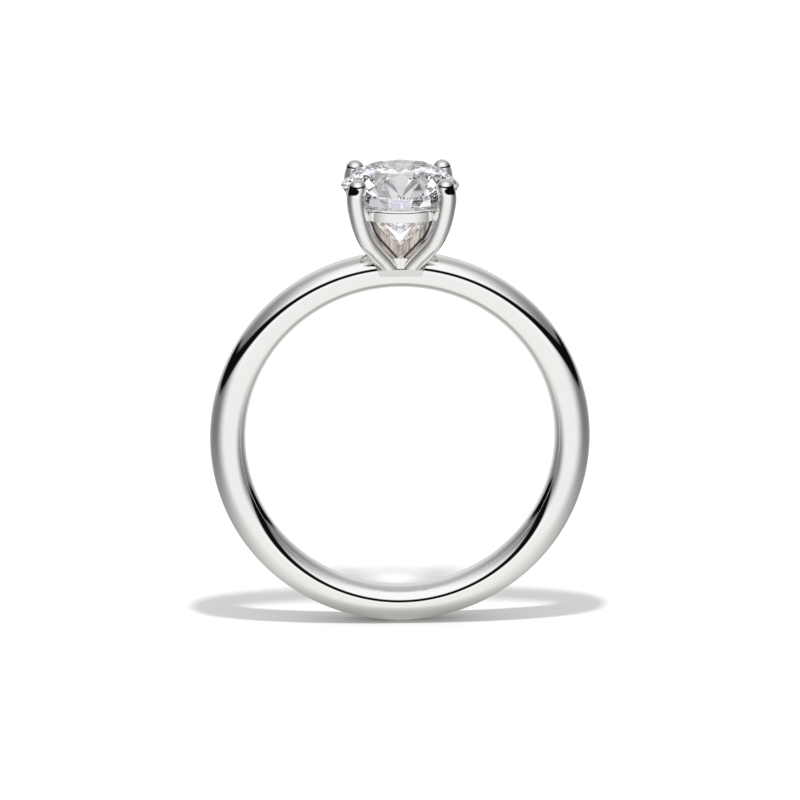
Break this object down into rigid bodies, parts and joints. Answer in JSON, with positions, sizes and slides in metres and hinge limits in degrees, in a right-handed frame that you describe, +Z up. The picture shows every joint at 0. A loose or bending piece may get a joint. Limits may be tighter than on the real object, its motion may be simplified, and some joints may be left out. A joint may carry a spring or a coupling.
{
  "type": "engagement ring",
  "caption": "Solitaire finger ring: a plain polished band with a tulip-shaped claw head and gallery rail that hold a round brilliant-cut stone above it.",
  "frame": {"origin": "centre of the finger hole, midway between the band's two sides", "axes": "+Y along the finger hole, towards the rear; +Z up through the middle of the stone; +X to the right seen from the front"},
  "size_m": [0.0206, 0.0064, 0.0253],
  "materials": {
    "platinum": "mirror-polished precious white metal",
    "diamond": "clear colourless faceted stone"
  },
  "bodies": {
    "root": {"shank": "platinum", "head_base": "platinum", "claw_front_left": "platinum", "claw_front_right": "platinum", "claw_rear_right": "platinum", "claw_rear_left": "platinum", "gallery_rail": "platinum", "diamond": "diamond"}
  },
  "joints": []
}
